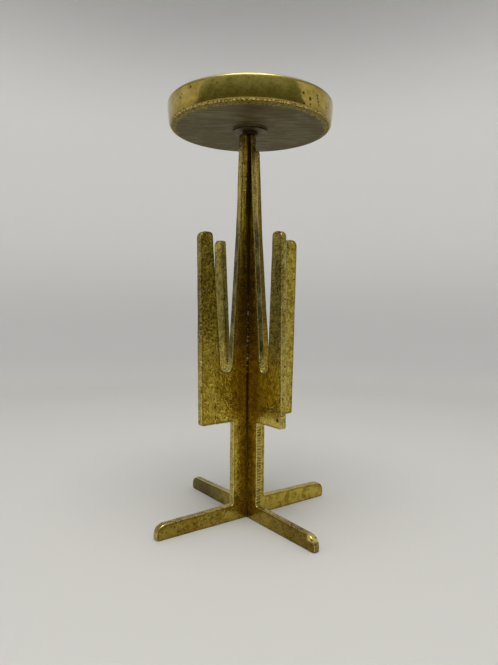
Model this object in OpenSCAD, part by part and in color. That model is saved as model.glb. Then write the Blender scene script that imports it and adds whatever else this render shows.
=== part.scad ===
// Cast brass candlestick: two flat plates cross at a right angle and carry a round dish.
// The object stands on the floor at z = 0, with its axis on Z. One plate runs along X, the other along Y.

/* [Feet and stem] */
// Distance from the axis to the tip of a foot
foot_reach = 66.8; // [58:0.2:76]
// Height of a foot where it leaves the stem
foot_root_h = 10.1; // [8.6:0.1:12]
// Height of a foot near its tip
foot_tip_h = 9.2; // [8.4:0.1:10.4]
// How much higher the right foot is than the other three
right_foot_more = 1.3; // [0:0.1:1.8]
// Radius of the upper corner of a foot's tip
foot_toe_r = 6; // [3:0.2:7]
// Radius of the lower corner of a foot's tip
foot_sole_r = 2.4; // [1:0.1:3]
// Width of the stem between the feet and the wings
stem_w = 25; // [21:0.2:28]

/* [Wings and prongs] */
// Height of the lower edge of the wings over the floor
wing_z = 64.2; // [50:0.2:76]
// Distance from the axis to the outer edge of a wing, at its foot
wing_reach = 36.5; // [34:0.1:41]
// Height of the tips of the prongs over the floor
prong_tip_z = 183; // [160:0.5:200]
// Width of a prong near its tip
prong_tip_w = 9; // [7:0.1:10]
// Width of a prong at the bottom of the notch
prong_root_w = 13.6; // [10.4:0.1:14.4]
// Radius of the outer corner of a prong's tip
prong_outer_r = 4; // [2.4:0.1:4.4]
// Radius of the inner corner of a prong's tip
prong_inner_r = 2.4; // [1.6:0.1:2.8]
// How far the tip of the left prong leans out
left_lean = 1.3; // [-2:0.1:3.2]
// How far the tip of the right prong leans out
right_lean = 2.5; // [-2:0.1:3.2]
// How far the tip of the front prong leans out
front_lean = -1.5; // [-2:0.1:3.2]
// How far the tip of the back prong leans out
back_lean = 1.8; // [-2:0.1:3.2]

/* [Spike] */
// Height of the bottom of the notch between prong and spike
notch_z = 96.5; // [88:0.5:110]
// Width of the notch at its bottom
notch_w = 8.5; // [7:0.1:10]
// How much further out the spike's right edge starts at the bottom of the notch
right_root_more = 2; // [0:0.1:2.4]
// How much further out the spike's front edge starts at the bottom of the notch
front_edge_more = 0.8; // [0:0.1:1.4]
// How much further in that edge is at the height of the prongs' tips
front_mid_less = 1.2; // [0:0.1:1.6]
// Width of the spike at the height of the prongs' tips
spike_mid_w = 18.4; // [15:0.1:20]
// Width of the spike at its top
spike_top_w = 11.9; // [11:0.1:14]
// How much further out the spike's left edge ends at the top
left_top_more = 1.1; // [0:0.1:1.6]
// How much further in the spike's front edge ends at the top
front_top_less = 2.4; // [0:0.1:2.6]
// Height of the top of the spike over the floor
spike_top_z = 246.6; // [225:0.2:270]
// How far the right arm of the spike stops below its top
right_drop = 9.4; // [6:0.1:14]
// Radius of the corner where the right arm of the spike stops
right_drop_r = 1.8; // [1.2:0.1:2]
// Reach of what is left of the right arm above that stop
right_core_reach = 3; // [2.8:0.1:5]

/* [Plates] */
// Thickness of the plate that runs from left to right
left_right_t = 4.6; // [4.6:0.1:6]
// Thickness of the plate that runs from front to back
front_back_t = 4.1; // [3.6:0.1:5.6]
// Radius of the rounded edges of the plates
edge_r = 0.6; // [0.5:0.05:1.2]
// Radius of the small outer corners of the outline
corner_r = 1.4; // [1.2:0.1:1.6]
// Radius of the inner corners of the outline
fillet_r = 1.2; // [0.6:0.1:1.8]
// Depth that is ground off under the feet
sole_cut = 0.5; // [0.2:0.05:0.6]
// Height at which the slots of the two plates meet
lap_z = 122; // [112:1:140]
// Gap at each side of a plate in the slot of the other
slot_gap = 0.05; // [0.02:0.01:0.12]
// Reach of the brazing metal from the corner along each plate
seam_r = 0.9; // [0.6:0.05:1]
// Thickness of the brazing metal at its thin edges
seam_edge = 0.1; // [0.05:0.01:0.2]

/* [Neck] */
// Radius of the collar on top of the spike
collar_r = 5; // [4.8:0.1:6]
// Height of the collar
collar_h = 1.8; // [1.6:0.1:4]
// Radius of the washer under the dish
washer_r = 11; // [8:0.1:14]
// Thickness of the washer
washer_h = 1.6; // [0.8:0.1:2.4]
// Radius of the threaded stud
stud_r = 2; // [1.5:0.05:2]
// Depth of the stud in the spike
stud_depth = 18; // [12:0.5:26]
// Radial gap round the stud
stud_gap = 0.05; // [0.02:0.01:0.08]

/* [Dish] */
// Radius of the dish at its rim
dish_rim_r = 52; // [44:0.1:60]
// Radius of the side of the dish just above its lower edge
dish_side_r = 51.1; // [43.6:0.1:59]
// Height of the dish
dish_h = 15; // [12:0.1:20]
// Radius of the rounded lower edge of the dish
dish_heel_r = 2.2; // [2:0.1:4]
// Radius of the rounded outer edge of the rim
rim_outer_r = 2.4; // [0.6:0.1:2.8]
// Radius of the rounded inner edge of the rim
rim_inner_r = 0.8; // [0.4:0.1:1.2]
// Thickness of the dish's wall at the rim
dish_wall = 4.4; // [3.6:0.1:6]
// Thickness of the dish's floor
dish_floor = 4.2; // [3.2:0.1:6]
// Radius of the hollow corner inside the dish
dish_cove_r = 3; // [1.5:0.1:4]
// How much thicker the dish's wall is at its foot than at the rim
dish_inner_draft = 0.1; // [0:0.1:1.2]

/* [Pricket] */
// Radius of the pricket's flange
pricket_flange_r = 8; // [6.5:0.1:12]
// Thickness of the flange, and depth of its seat in the dish's floor
pricket_flange_h = 2.2; // [1.6:0.1:3.6]
// Gap round the flange in its seat
pricket_seat_gap = 0.05; // [0.02:0.01:0.2]
// Length of the spike over the flange
pricket_len = 21; // [16:0.5:26]
// Radius of the spike where it leaves the flange
pricket_root_r = 3.4; // [3:0.1:4.2]
// Radius of the blunt tip
pricket_tip_r = 0.6; // [0.4:0.05:1]
// Radius of the cove between flange and spike
pricket_cove_r = 1.4; // [0.8:0.1:2]
// Depth of the threaded hole in the pricket
pricket_hole_depth = 6; // [4.5:0.1:7]

/* [Hidden] */

// Facets of the full round turned pieces
turned_fn = 96;
// Steps in the arc of a corner, of a foot's toe and of the bottom of the notch
corner_steps = 4;
toe_steps = 6;
notch_steps = 10;
// Step of the arc in the section of a rounded edge, in degrees
edge_step = 45;
// Overrun of every cut
cut = 1;

// Reach of a plate's rounded rim into its flat core
rim_lap = (min(corner_r, foot_sole_r, right_drop_r, prong_inner_r) - edge_r) / 2;

// Places that follow from the sizes
prong_root_in = wing_reach - prong_root_w;
right_stop_z = spike_top_z - right_drop;
stud_bore_r = stud_r + stud_gap;
collar_z = spike_top_z;
washer_z = collar_z + collar_h;
dish_z = washer_z + washer_h;
pricket_z = dish_z + dish_floor - pricket_flange_h;
stud_foot_z = spike_top_z - stud_depth;
stud_head_z = pricket_z + pricket_hole_depth;

// Half width of the upper spike at height z: a straight taper from the height of the prongs' tips to the top
function spike_u(z) = (spike_mid_w + (spike_top_w - spike_mid_w) * (z - prong_tip_z) / (spike_top_z - prong_tip_z)) / 2;

// Points along an arc of radius r about [u, z], from angle start to angle end
function arc(u, z, r, start, end, steps) = [
    for (i = [0:steps])
        let (a = start + (end - start) * i / steps)
            [u + r * cos(a), z + r * sin(a)]
];

// A foot and one side of the stem, from the sole up to the lower edge of the wing. The foot is higher by more.
function foot_points(more) = concat(
    arc(foot_reach - foot_sole_r, foot_sole_r - sole_cut, foot_sole_r, -90, 0, corner_steps),
    arc(foot_reach - foot_toe_r, foot_tip_h + more - foot_toe_r, foot_toe_r, 0, 90, toe_steps),
    arc(stem_w / 2 + fillet_r, foot_root_h + more + fillet_r, fillet_r, 270, 180, corner_steps),
    arc(stem_w / 2 + fillet_r, wing_z - fillet_r, fillet_r, 180, 90, corner_steps)
);

// A wing and its prong, whose tip leans out by lean, and the round bottom of the notch, narrower by less
function wing_points(lean, less) =
    let (
        tip_out = wing_reach + lean,
        tip_in = tip_out - prong_tip_w,
        notch_r = (notch_w - less) / 2
    )
        concat(
            arc(wing_reach - corner_r, wing_z + corner_r, corner_r, -90, 0, corner_steps),
            arc(tip_out - prong_outer_r, prong_tip_z - prong_outer_r, prong_outer_r, 0, 90, corner_steps),
            arc(tip_in + prong_inner_r, prong_tip_z - prong_inner_r, prong_inner_r, 90, 180, corner_steps),
            arc(prong_root_in - notch_r, notch_z + notch_r, notch_r, 0, -180, notch_steps)
        );

// One edge of the spike, further out by mid_more at the prongs' tips and by top_more at the top
function spike_points(mid_more, top_more) = concat(
    [[spike_u(prong_tip_z) + mid_more, prong_tip_z]],
    arc(spike_u(spike_top_z) + top_more - corner_r, spike_top_z - corner_r, corner_r, 0, 90, corner_steps)
);

// The right edge of the spike, which stops short of the top so that only a narrow core goes on
function short_spike_points() = concat(
    [[spike_u(prong_tip_z), prong_tip_z]],
    arc(spike_u(right_stop_z) - right_drop_r, right_stop_z - right_drop_r, right_drop_r, 0, 90, corner_steps),
    [[right_core_reach, right_stop_z]],
    arc(right_core_reach - corner_r, spike_top_z - corner_r, corner_r, 0, 90, corner_steps)
);

// The four arms, each from its sole to the top of the spike
function left_arm() = concat(foot_points(0), wing_points(left_lean, 0), spike_points(0, left_top_more));
function right_arm() = concat(
    foot_points(right_foot_more), wing_points(right_lean, right_root_more), short_spike_points()
);
function front_arm() = concat(
    foot_points(0), wing_points(front_lean, front_edge_more), spike_points(-front_mid_less, -front_top_less)
);
function back_arm() = concat(foot_points(0), wing_points(back_lean, 0), spike_points(0, 0));

// An arm turned over to the other side, its points in reverse so that the outline still runs one way round
function turned_over(points) = [for (i = [len(points) - 1:-1:0]) [-points[i].x, points[i].y]];

// Outline drawn in by d: each point moves along the line that halves its corner
function drawn_in(points, d) = [
    for (i = [0:len(points) - 1])
        let (
            before = points[i] - points[(i + len(points) - 1) % len(points)],
            after = points[(i + 1) % len(points)] - points[i],
            side_before = [-before.y, before.x] / norm(before),
            side_after = [-after.y, after.x] / norm(after)
        )
            points[i] + d * (side_before + side_after) / (1 + side_before * side_after)
];

// The rounded edge of a plate of thickness t in the XZ plane: a half-round section carried along the outline.
// It reaches a little way into the flat core, flush with its faces.
module rounded_rim(outline, t) {
    sections = concat(
        [[edge_r + rim_lap, -t / 2]],
        [for (a = [-90:edge_step:0]) [edge_r * (1 - cos(a)), edge_r * (1 + sin(a)) - t / 2]],
        [for (a = [0:edge_step:90]) [edge_r * (1 - cos(a)), t / 2 - edge_r * (1 - sin(a))]],
        [[edge_r + rim_lap, t / 2]]
    );
    count = len(outline);
    total = count * len(sections);
    polyhedron(
        points = [for (s = sections, p = drawn_in(outline, s.x)) [p.x, s.y, p.y]],
        faces = [
            for (row = [0:count:total - 1], i = [0:count - 1], half = [0, 1])
                let (
                    here = row + i,
                    next = row + (i + 1) % count,
                    next_up = (next + count) % total,
                    here_up = (here + count) % total
                )
                    half == 0 ? [here, next, next_up] : [here, next_up, here_up]
        ]
    );
}

// A plate of thickness t that stands in the XZ plane, with every edge rounded and the soles ground flat
module cast_plate(outline, t) {
    difference() {
        union() {
            rotate([90, 0, 0])
                linear_extrude(t, center = true)
                    polygon(drawn_in(outline, edge_r));
            rounded_rim(outline, t);
        }
        translate([-foot_reach - cut, -t, -sole_cut - cut])
            cube([2 * (foot_reach + cut), 2 * t, sole_cut + cut]);
    }
}

// Plate along X: slotted from below, bored from above for the stud
module left_right_plate() {
    slot_w = front_back_t + 2 * slot_gap;
    color("#8d7a35")
        difference() {
            cast_plate(concat(right_arm(), turned_over(left_arm())), left_right_t);
            translate([-slot_w / 2, -left_right_t, -cut])
                cube([slot_w, 2 * left_right_t, lap_z + cut]);
            translate([0, 0, stud_foot_z])
                cylinder(h = stud_depth + cut, r = stud_bore_r, $fn = turned_fn);
        }
}

// Plate along Y: slotted from above, so that it slides up into the other
module front_back_plate() {
    slot_w = left_right_t + 2 * slot_gap;
    color("#7d6a2c")
        difference() {
            rotate([0, 0, 90])
                cast_plate(concat(back_arm(), turned_over(front_arm())), front_back_t);
            translate([-front_back_t, -slot_w / 2, lap_z])
                cube([2 * front_back_t, slot_w, spike_top_z]);
        }
}

// Hollow-faced strip of brazing metal in each of the four inner corners
module braze_seams() {
    seam_z = edge_r;
    seam_h = spike_top_z - 2 * edge_r;
    color("#4a3a1c")
        for (side_x = [0, 1], side_y = [0, 1])
            mirror([side_x, 0, 0])
                mirror([0, side_y, 0])
                    translate([front_back_t / 2, left_right_t / 2, seam_z])
                        linear_extrude(seam_h)
                            difference() {
                                square(seam_r);
                                translate([seam_r, seam_r])
                                    circle(seam_r - seam_edge, $fn = turned_fn);
                            }
}

// Turned ring that stands on the top of the spike
module neck_collar() {
    color("#3f3318")
        translate([0, 0, collar_z])
            rotate_extrude($fn = turned_fn)
                translate([stud_bore_r, 0])
                    square([collar_r - stud_bore_r, collar_h]);
}

// Flat disc between the collar and the dish
module support_washer() {
    color("#6e6238")
        translate([0, 0, washer_z])
            rotate_extrude($fn = turned_fn)
                translate([stud_bore_r, 0])
                    square([washer_r - stud_bore_r, washer_h]);
}

// Threaded rod from the spike up through the dish into the pricket
module centre_stud() {
    color("#a08a4a")
        translate([0, 0, stud_foot_z])
            cylinder(h = stud_head_z - stud_foot_z, r = stud_r, $fn = turned_fn);
}

// Radius of the dish's side at height z over its underside: a straight flare from the heel to the rim
function dish_side_at(z) = dish_side_r
    + (dish_rim_r - dish_side_r) * (z - dish_heel_r) / (dish_h - rim_outer_r - dish_heel_r);

// Section of the dish, right of the axis: flat underside, rounded heel, slightly flared side, rounded rim,
// a wall that follows the side, and a sunk seat for the pricket's flange in the middle of the floor
module dish_section() {
    inner_rim = dish_rim_r - dish_wall;
    inner_foot = dish_side_at(dish_floor) - dish_wall - dish_inner_draft;
    seat_r = pricket_flange_r + pricket_seat_gap;
    seat_z = dish_floor - pricket_flange_h;
    difference() {
        union() {
            polygon([
                [stud_bore_r, 0], [dish_side_r - dish_heel_r, 0], [dish_side_r, dish_heel_r],
                [dish_rim_r, dish_h - rim_outer_r], [dish_rim_r - rim_outer_r, dish_h],
                [inner_rim + rim_inner_r, dish_h], [inner_rim, dish_h - rim_inner_r],
                [inner_foot, dish_floor + dish_cove_r], [inner_foot, dish_floor],
                [seat_r, dish_floor], [seat_r, seat_z], [stud_bore_r, seat_z]
            ]);
            translate([dish_side_r - dish_heel_r, dish_heel_r])
                circle(dish_heel_r, $fn = turned_fn);
            translate([dish_rim_r - rim_outer_r, dish_h - rim_outer_r])
                circle(rim_outer_r, $fn = turned_fn);
            translate([inner_rim + rim_inner_r, dish_h - rim_inner_r])
                circle(rim_inner_r, $fn = turned_fn);
            translate([inner_foot - dish_cove_r, dish_floor])
                square(dish_cove_r);
        }
        translate([inner_foot - dish_cove_r, dish_floor + dish_cove_r])
            circle(dish_cove_r, $fn = turned_fn);
    }
}

// Thick round dish, cast and then turned
module dish() {
    color("#9c8a3e")
        translate([0, 0, dish_z])
            rotate_extrude($fn = turned_fn)
                dish_section();
}

// Section of the pricket, right of the axis: flange, cove and long taper to a blunt tip
module pricket_section() {
    difference() {
        union() {
            polygon([
                [0, 0], [pricket_flange_r, 0], [pricket_flange_r, pricket_flange_h],
                [pricket_root_r, pricket_flange_h], [pricket_tip_r, pricket_flange_h + pricket_len],
                [0, pricket_flange_h + pricket_len]
            ]);
            translate([0, pricket_flange_h])
                square([pricket_root_r + pricket_cove_r, pricket_cove_r]);
        }
        translate([pricket_root_r + pricket_cove_r, pricket_flange_h + pricket_cove_r])
            circle(pricket_cove_r, $fn = turned_fn);
        square([stud_bore_r, pricket_hole_depth]);
    }
}

// Spike that holds the candle, screwed down on the stud, its flange flush with the dish's floor
module pricket() {
    color("#a8954a")
        translate([0, 0, pricket_z])
            rotate_extrude($fn = turned_fn)
                pricket_section();
}

left_right_plate();
front_back_plate();
braze_seams();
neck_collar();
support_washer();
centre_stud();
dish();
pricket();
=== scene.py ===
import math

import bmesh
import bpy
import numpy as np
from mathutils import Matrix
from mathutils.geometry import delaunay_2d_cdt


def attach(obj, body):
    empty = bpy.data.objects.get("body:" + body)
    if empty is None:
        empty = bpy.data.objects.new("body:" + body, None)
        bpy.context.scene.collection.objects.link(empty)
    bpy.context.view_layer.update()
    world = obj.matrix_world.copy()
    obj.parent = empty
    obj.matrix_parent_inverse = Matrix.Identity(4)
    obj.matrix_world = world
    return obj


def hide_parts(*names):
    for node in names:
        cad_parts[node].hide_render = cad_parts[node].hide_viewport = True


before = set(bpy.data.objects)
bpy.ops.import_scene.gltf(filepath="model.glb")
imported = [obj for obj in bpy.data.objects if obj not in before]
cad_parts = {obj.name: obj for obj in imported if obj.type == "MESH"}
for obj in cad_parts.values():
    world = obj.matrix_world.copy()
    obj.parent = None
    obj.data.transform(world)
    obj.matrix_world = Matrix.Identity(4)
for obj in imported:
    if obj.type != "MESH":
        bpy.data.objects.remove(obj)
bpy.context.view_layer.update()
mm = 0.001


# Camera
# The candlestick is seen from the left front, level with the middle of its spike and close by,
# so that the front arms spread towards the viewer and the dish shows its underside.
camera_distance = 349.2 * mm
camera_height = 139.5 * mm
camera_turn = math.radians(36.46)
camera_tilt = math.radians(-3.04)
camera_roll = math.radians(0.5)
stand_turn = math.radians(36.39)
frame_length_px = 665
focal_length_px = 538.4
nearest_seen = 10 * mm

camera = bpy.data.objects.new("camera", bpy.data.cameras.new("camera"))
camera.data.lens = focal_length_px / frame_length_px * camera.data.sensor_width
camera.data.clip_start = nearest_seen
camera.matrix_world = (
    Matrix.Translation((
        -camera_distance * math.sin(stand_turn),
        -camera_distance * math.cos(stand_turn),
        camera_height,
    ))
    @ Matrix.Rotation(-camera_turn, 4, "Z")
    @ Matrix.Rotation(math.pi / 2 + camera_tilt, 4, "X")
    @ Matrix.Rotation(camera_roll, 4, "Z")
)
bpy.context.scene.collection.objects.link(camera)
bpy.context.scene.camera = camera
bpy.context.scene.view_settings.view_transform = "Standard"


# Floor and wall
# A seamless pale sheet of card: a flat floor that curves up into a round wall, open at the top. It is lit by
# a wide soft lamp above and by the sky that shows through the opening. Its wall carries painted light and
# shade: darker at the foot and towards the top, lighter between.
floor_r = 560 * mm
floor_bend_r = 300 * mm
wall_top = 1250 * mm
wall_steps = 96
bend_step = 20 * mm
floor_colour = (0.585, 0.572, 0.54, 1)
wall_foot_painted_shade = (0.54, 0.538, 0.53, 1)
wall_middle_painted_light = (0.75, 0.747, 0.738, 1)
wall_top_painted_shade = (0.42, 0.417, 0.41, 1)
floor_fade_z = (0, 40 * mm)
wall_foot_fade_z = (80 * mm, 330 * mm)
wall_top_fade_z = (480 * mm, 850 * mm)
card_roughness = 0.7
card_gloss = 0.2
sky_strength = 0.76
lamp_power = 7.5
lamp_size = 700 * mm
lamp_place = (-160 * mm, -210 * mm, 1150 * mm)
doubles_gap = 1e-4 * mm


def new_piece(name, points, faces, sharp_angle=40):
    """A smooth-shaded mesh object at the origin, its doubled points merged, sharp where it turns by over
    sharp_angle, in degrees."""
    mesh = bpy.data.meshes.new(name)
    mesh.from_pydata(np.asarray(points).tolist(), [], [list(face) for face in faces])
    work = bmesh.new()
    work.from_mesh(mesh)
    bmesh.ops.remove_doubles(work, verts=work.verts, dist=doubles_gap)
    work.to_mesh(mesh)
    work.free()
    mesh.shade_smooth()
    mesh.set_sharp_from_angle(angle=math.radians(sharp_angle))
    piece = bpy.data.objects.new(name, mesh)
    bpy.context.scene.collection.objects.link(piece)
    return piece


def arc(u, z, r, start, end, step):
    """Points [u, z] + r * (cos a, sin a), with a running from start to end in degrees, step apart along
    the arc."""
    count = max(3, math.ceil(r * math.radians(abs(end - start)) / step))
    a = np.radians(np.linspace(start, end, count + 1))
    return np.column_stack([u + r * np.cos(a), z + r * np.sin(a)])


def ring_corners(rows, count):
    """For a grid of points whose rows are closed rings: the number of each quad's first corner, and of the
    corner beside it on the same ring."""
    row = np.arange(rows - 1)[:, None] * count
    return row + np.arange(count), row + (np.arange(count) + 1) % count


def turned(profile, steps):
    """Points and faces of a profile (r, z) carried round the Z axis: x = r cos a, y = r sin a, with a in
    equal steps."""
    a = np.linspace(0, 2 * np.pi, steps, endpoint=False)
    r, z = np.asarray(profile, float).T
    points = np.stack([np.outer(r, np.cos(a)), np.outer(r, np.sin(a)), np.outer(z, np.ones(steps))], axis=-1)
    here, beside = ring_corners(len(r), steps)
    faces = np.stack([here, beside, beside + steps, here + steps], axis=-1).reshape(-1, 4)
    return points.reshape(-1, 3), faces


def put(tree, kind, sockets=None, **settings):
    """A new node of a tree. Each socket is given a value, or another node's output to read."""
    node = tree.nodes.new(kind)
    for name, value in settings.items():
        setattr(node, name, value)
    for name, value in (sockets or {}).items():
        if isinstance(value, bpy.types.NodeSocket):
            tree.links.new(value, node.inputs[name])
        else:
            node.inputs[name].default_value = value
    return node


def new_material(name):
    """An empty node material: returns it with its tree and its output node."""
    material = bpy.data.materials.new(name)
    material.use_nodes = True
    material.node_tree.nodes.clear()
    return material, material.node_tree, material.node_tree.nodes.new("ShaderNodeOutputMaterial")


def own_place(tree):
    """Outputs for a point's place on its own piece: the whole vector, and its X, Y and Z by name."""
    place = put(tree, "ShaderNodeTexCoord").outputs["Object"]
    return place, put(tree, "ShaderNodeSeparateXYZ", {"Vector": place}).outputs


def ramp(tree, value, low, high, to_low=0.0, to_high=1.0):
    """The output of a smooth Map Range node that takes low..high to to_low..to_high."""
    node = put(tree, "ShaderNodeMapRange", {
        "Value": value, "From Min": low, "From Max": high, "To Min": to_low, "To Max": to_high,
    }, interpolation_type="SMOOTHSTEP")
    return node.outputs["Result"]


def mixed(tree, share, first, second):
    """The output of a colour Mix node, from first at share 0 to second at share 1."""
    node = put(tree, "ShaderNodeMix", {"Factor": share, "A": first, "B": second}, data_type="RGBA")
    return node.outputs["Result"]


bend = arc(floor_r, floor_bend_r, floor_bend_r, 0, -90, bend_step)
wall_line = np.vstack([[floor_r + floor_bend_r, wall_top], bend, [0, 0]])
card = new_piece("card_floor_and_wall", *turned(wall_line, wall_steps))
card_finish, tree, output = new_material("pale_card")
_, axes = own_place(tree)
# Painted light and shade on the wall: darker at its foot and towards its top, lighter in the middle
wall_painted_light_and_shade = mixed(tree, ramp(tree, axes["Z"], *wall_top_fade_z), wall_middle_painted_light, wall_top_painted_shade)
wall_painted_light_and_shade = mixed(tree, ramp(tree, axes["Z"], *wall_foot_fade_z), wall_foot_painted_shade, wall_painted_light_and_shade)
card_tint = mixed(tree, ramp(tree, axes["Z"], *floor_fade_z), floor_colour, wall_painted_light_and_shade)
surface = put(tree, "ShaderNodeBsdfPrincipled", {
    "Base Color": card_tint, "Roughness": card_roughness, "Specular IOR Level": card_gloss})
tree.links.new(surface.outputs["BSDF"], output.inputs["Surface"])
card.data.materials.append(card_finish)

world = bpy.data.worlds.new("sky")
world.use_nodes = True
bpy.context.scene.world = world
sky = world.node_tree.nodes["Background"]
sky.inputs["Color"].default_value = (1, 1, 1, 1)
sky.inputs["Strength"].default_value = sky_strength

lamp = bpy.data.objects.new("top_lamp", bpy.data.lights.new("top_lamp", "AREA"))
lamp.data.shape = "DISK"
lamp.data.size = lamp_size
lamp.data.energy = lamp_power
lamp.location = lamp_place
bpy.context.scene.collection.objects.link(lamp)


# Dark opening, as a painted reflection
# A glowing sheet in front of the card wall, towards the viewer, paints the reflection of a wide opening: dark
# below, and lighter and narrower above. The camera doesn't see it, it lights nothing and casts no shadow;
# only the polished metal mirrors it.
gap_r = 800 * mm
gap_heights = np.array([5, 290, 340, 430, 550, 700, 900]) * mm
gap_half_angles = np.radians([75.5, 75.5, 72, 68, 62, 57, 50])
reflected_gap_low_colour = (0.16, 0.165, 0.13, 1)
reflected_gap_high_colour = (0.62, 0.68, 0.66, 1)
gap_fade_z = (300 * mm, 850 * mm)
gap_steps = 48

gap_a = np.outer(gap_half_angles, np.linspace(-1, 1, gap_steps)) - math.pi / 2 - stand_turn
gap_z = np.repeat(gap_heights[:, None], gap_steps, axis=1)
gap_points = np.dstack([gap_r * np.cos(gap_a), gap_r * np.sin(gap_a), gap_z]).reshape(-1, 3)
gap_here = (np.arange(len(gap_heights) - 1)[:, None] * gap_steps + np.arange(gap_steps - 1)).ravel()
gap_faces = np.column_stack([gap_here + 1, gap_here, gap_here + gap_steps, gap_here + gap_steps + 1])
gap = new_piece("painted_reflection_of_opening", gap_points, gap_faces)
painted_reflection_finish, tree, output = new_material("painted_reflection_of_opening")
_, axes = own_place(tree)
painted_reflection_tint = mixed(tree, ramp(tree, axes["Z"], *gap_fade_z), reflected_gap_low_colour, reflected_gap_high_colour)
reflection_glow = put(tree, "ShaderNodeEmission", {"Color": painted_reflection_tint, "Strength": 1.0})
tree.links.new(reflection_glow.outputs["Emission"], output.inputs["Surface"])
gap.data.materials.append(painted_reflection_finish)
gap.visible_camera = False
gap.visible_diffuse = False
gap.visible_shadow = False
gap.visible_transmission = False


# Cast plates
# Two flat plates of sand-cast brass, 4 to 5 mm thick, cross at a right angle. Feet, wings, prongs and spike
# were cast in one piece, then filed along the edges, slotted half way and slid into each other.
foot_reach = 66.8 * mm
foot_root_h = 10.1 * mm
foot_tip_h = 9.2 * mm
right_foot_more = 1.3 * mm
foot_toe_r = 6 * mm
foot_sole_r = 2.4 * mm
sole_cut = 0.5 * mm
stem_half = 12.5 * mm
wing_z = 64.2 * mm
wing_reach = 36.5 * mm
prong_tip_z = 183 * mm
prong_tip_w = 9 * mm
prong_root_w = 13.6 * mm
prong_outer_r = 4 * mm
prong_inner_r = 2.4 * mm
notch_z = 96.5 * mm
notch_w = 8.5 * mm
right_root_more = 2 * mm
front_edge_more = 0.8 * mm
spike_mid_half = 9.2 * mm
spike_top_half = 5.95 * mm
left_top_more = 1.1 * mm
front_mid_less = 1.2 * mm
front_top_less = 2.4 * mm
front_top_r = 0.85 * mm
spike_top_z = 246.6 * mm
right_stop_z = 237.2 * mm
right_stop_r = 1.8 * mm
right_core_reach = 3 * mm
corner_r = 1.4 * mm
fillet_r = 1.2 * mm
edge_r = 0.6 * mm
cut_edge_r = 0.08 * mm
left_right_t = 4.6 * mm
front_back_t = 4.1 * mm
slot_gap = 0.05 * mm
lap_z = 122 * mm
slot_lip = 0.25 * mm
outline_step = 0.75 * mm
face_step = 0.95 * mm
face_margin = 0.75 * face_step
rim_steps = 6
border_w = 0.3 * mm
file_depth = 0.22 * mm
file_waves = (60 * mm, 5 * mm, 14)
edge_r_change = 0.25
edge_r_waves = (24 * mm, 4 * mm, 10)
skin_depth = 0.07 * mm
skin_waves = (30 * mm, 3 * mm, 24)
left_lean = 1.3 * mm
right_lean = 2.5 * mm
front_lean = -1.5 * mm
back_lean = 1.8 * mm
left_right_seed = 11
front_back_seed = 41


def spike_half(z):
    """Half width of the upper spike: a straight taper from the prongs' tips to the top."""
    share = (z - prong_tip_z) / (spike_top_z - prong_tip_z)
    return spike_mid_half + (spike_top_half - spike_mid_half) * share


def arm(lean, foot_more=0, root_more=0, mid_more=0, top_more=0, top_r=corner_r, short=False):
    """One arm's outline from the sole up to the top of the spike, as arcs joined by straight lines. The foot
    is higher by foot_more, and the spike's edge further out by the other three at the notch, the prongs' tips
    and the top. Its top corner has the radius top_r. A short arm stops below the top and leaves a narrow
    core."""
    foot_h = foot_root_h + foot_more
    tip_out = wing_reach + lean
    tip_in = tip_out - prong_tip_w
    notch_r = (notch_w - root_more) / 2
    step = outline_step
    lines = [
        arc(foot_reach - foot_sole_r, foot_sole_r - sole_cut, foot_sole_r, -90, 0, step),
        arc(foot_reach - foot_toe_r, foot_tip_h + foot_more - foot_toe_r, foot_toe_r, 0, 90, step),
        arc(stem_half + fillet_r, foot_h + fillet_r, fillet_r, 270, 180, step),
        arc(stem_half + fillet_r, wing_z - fillet_r, fillet_r, 180, 90, step),
        arc(wing_reach - corner_r, wing_z + corner_r, corner_r, -90, 0, step),
        arc(tip_out - prong_outer_r, prong_tip_z - prong_outer_r, prong_outer_r, 0, 90, step),
        arc(tip_in + prong_inner_r, prong_tip_z - prong_inner_r, prong_inner_r, 90, 180, step),
        arc(wing_reach - prong_root_w - notch_r, notch_z + notch_r, notch_r, 0, -180, step),
        [[spike_mid_half + mid_more, prong_tip_z]],
    ]
    if short:
        stop_u = spike_half(right_stop_z)
        lines += [
            arc(stop_u - right_stop_r, right_stop_z - right_stop_r, right_stop_r, 0, 90, step),
            [[right_core_reach, right_stop_z]],
        ]
    top_u = right_core_reach if short else spike_top_half + top_more
    return np.vstack(lines + [arc(top_u - top_r, spike_top_z - top_r, top_r, 0, 90, step)])


def slot_line(half, mouth_z, end_z, side):
    """The slot's edge from mouth to end and back, with a small lip of full edge at each side of the mouth.
    Each point is u, z and the radius of the plate's edge there. side is the sign of u where the line
    starts."""
    return np.array([
        [side * (half + slot_lip), mouth_z, edge_r],
        [side * half, mouth_z, cut_edge_r],
        [side * half, end_z, cut_edge_r],
        [-side * half, end_z, cut_edge_r],
        [-side * half, mouth_z, cut_edge_r],
        [-side * (half + slot_lip), mouth_z, edge_r],
    ])


def spaced(points, step):
    """A closed line whose long stretches are split evenly, so that no gap is over step. Its corners stay."""
    after = np.roll(points, -1, axis=0)
    parts = np.maximum(1, np.ceil(np.linalg.norm((after - points)[:, :2], axis=1) / step).astype(int))
    index = np.repeat(np.arange(len(points)), parts)
    first = np.repeat(np.cumsum(parts) - parts, parts)
    share = ((np.arange(len(index)) - first) / parts[index])[:, None]
    return points[index] * (1 - share) + after[index] * share


def drawn_in(points, depth):
    """A closed line moved inwards by depth: each point goes along the line that halves its corner."""
    before = points - np.roll(points, 1, axis=0)
    after = np.roll(before, -1, axis=0)
    side_before = np.column_stack([-before[:, 1], before[:, 0]]) / np.linalg.norm(before, axis=1)[:, None]
    side_after = np.column_stack([-after[:, 1], after[:, 0]]) / np.linalg.norm(after, axis=1)[:, None]
    spread = 1 + (side_before * side_after).sum(axis=1)
    return points + (np.asarray(depth) / spread)[:, None] * (side_before + side_after)


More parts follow.
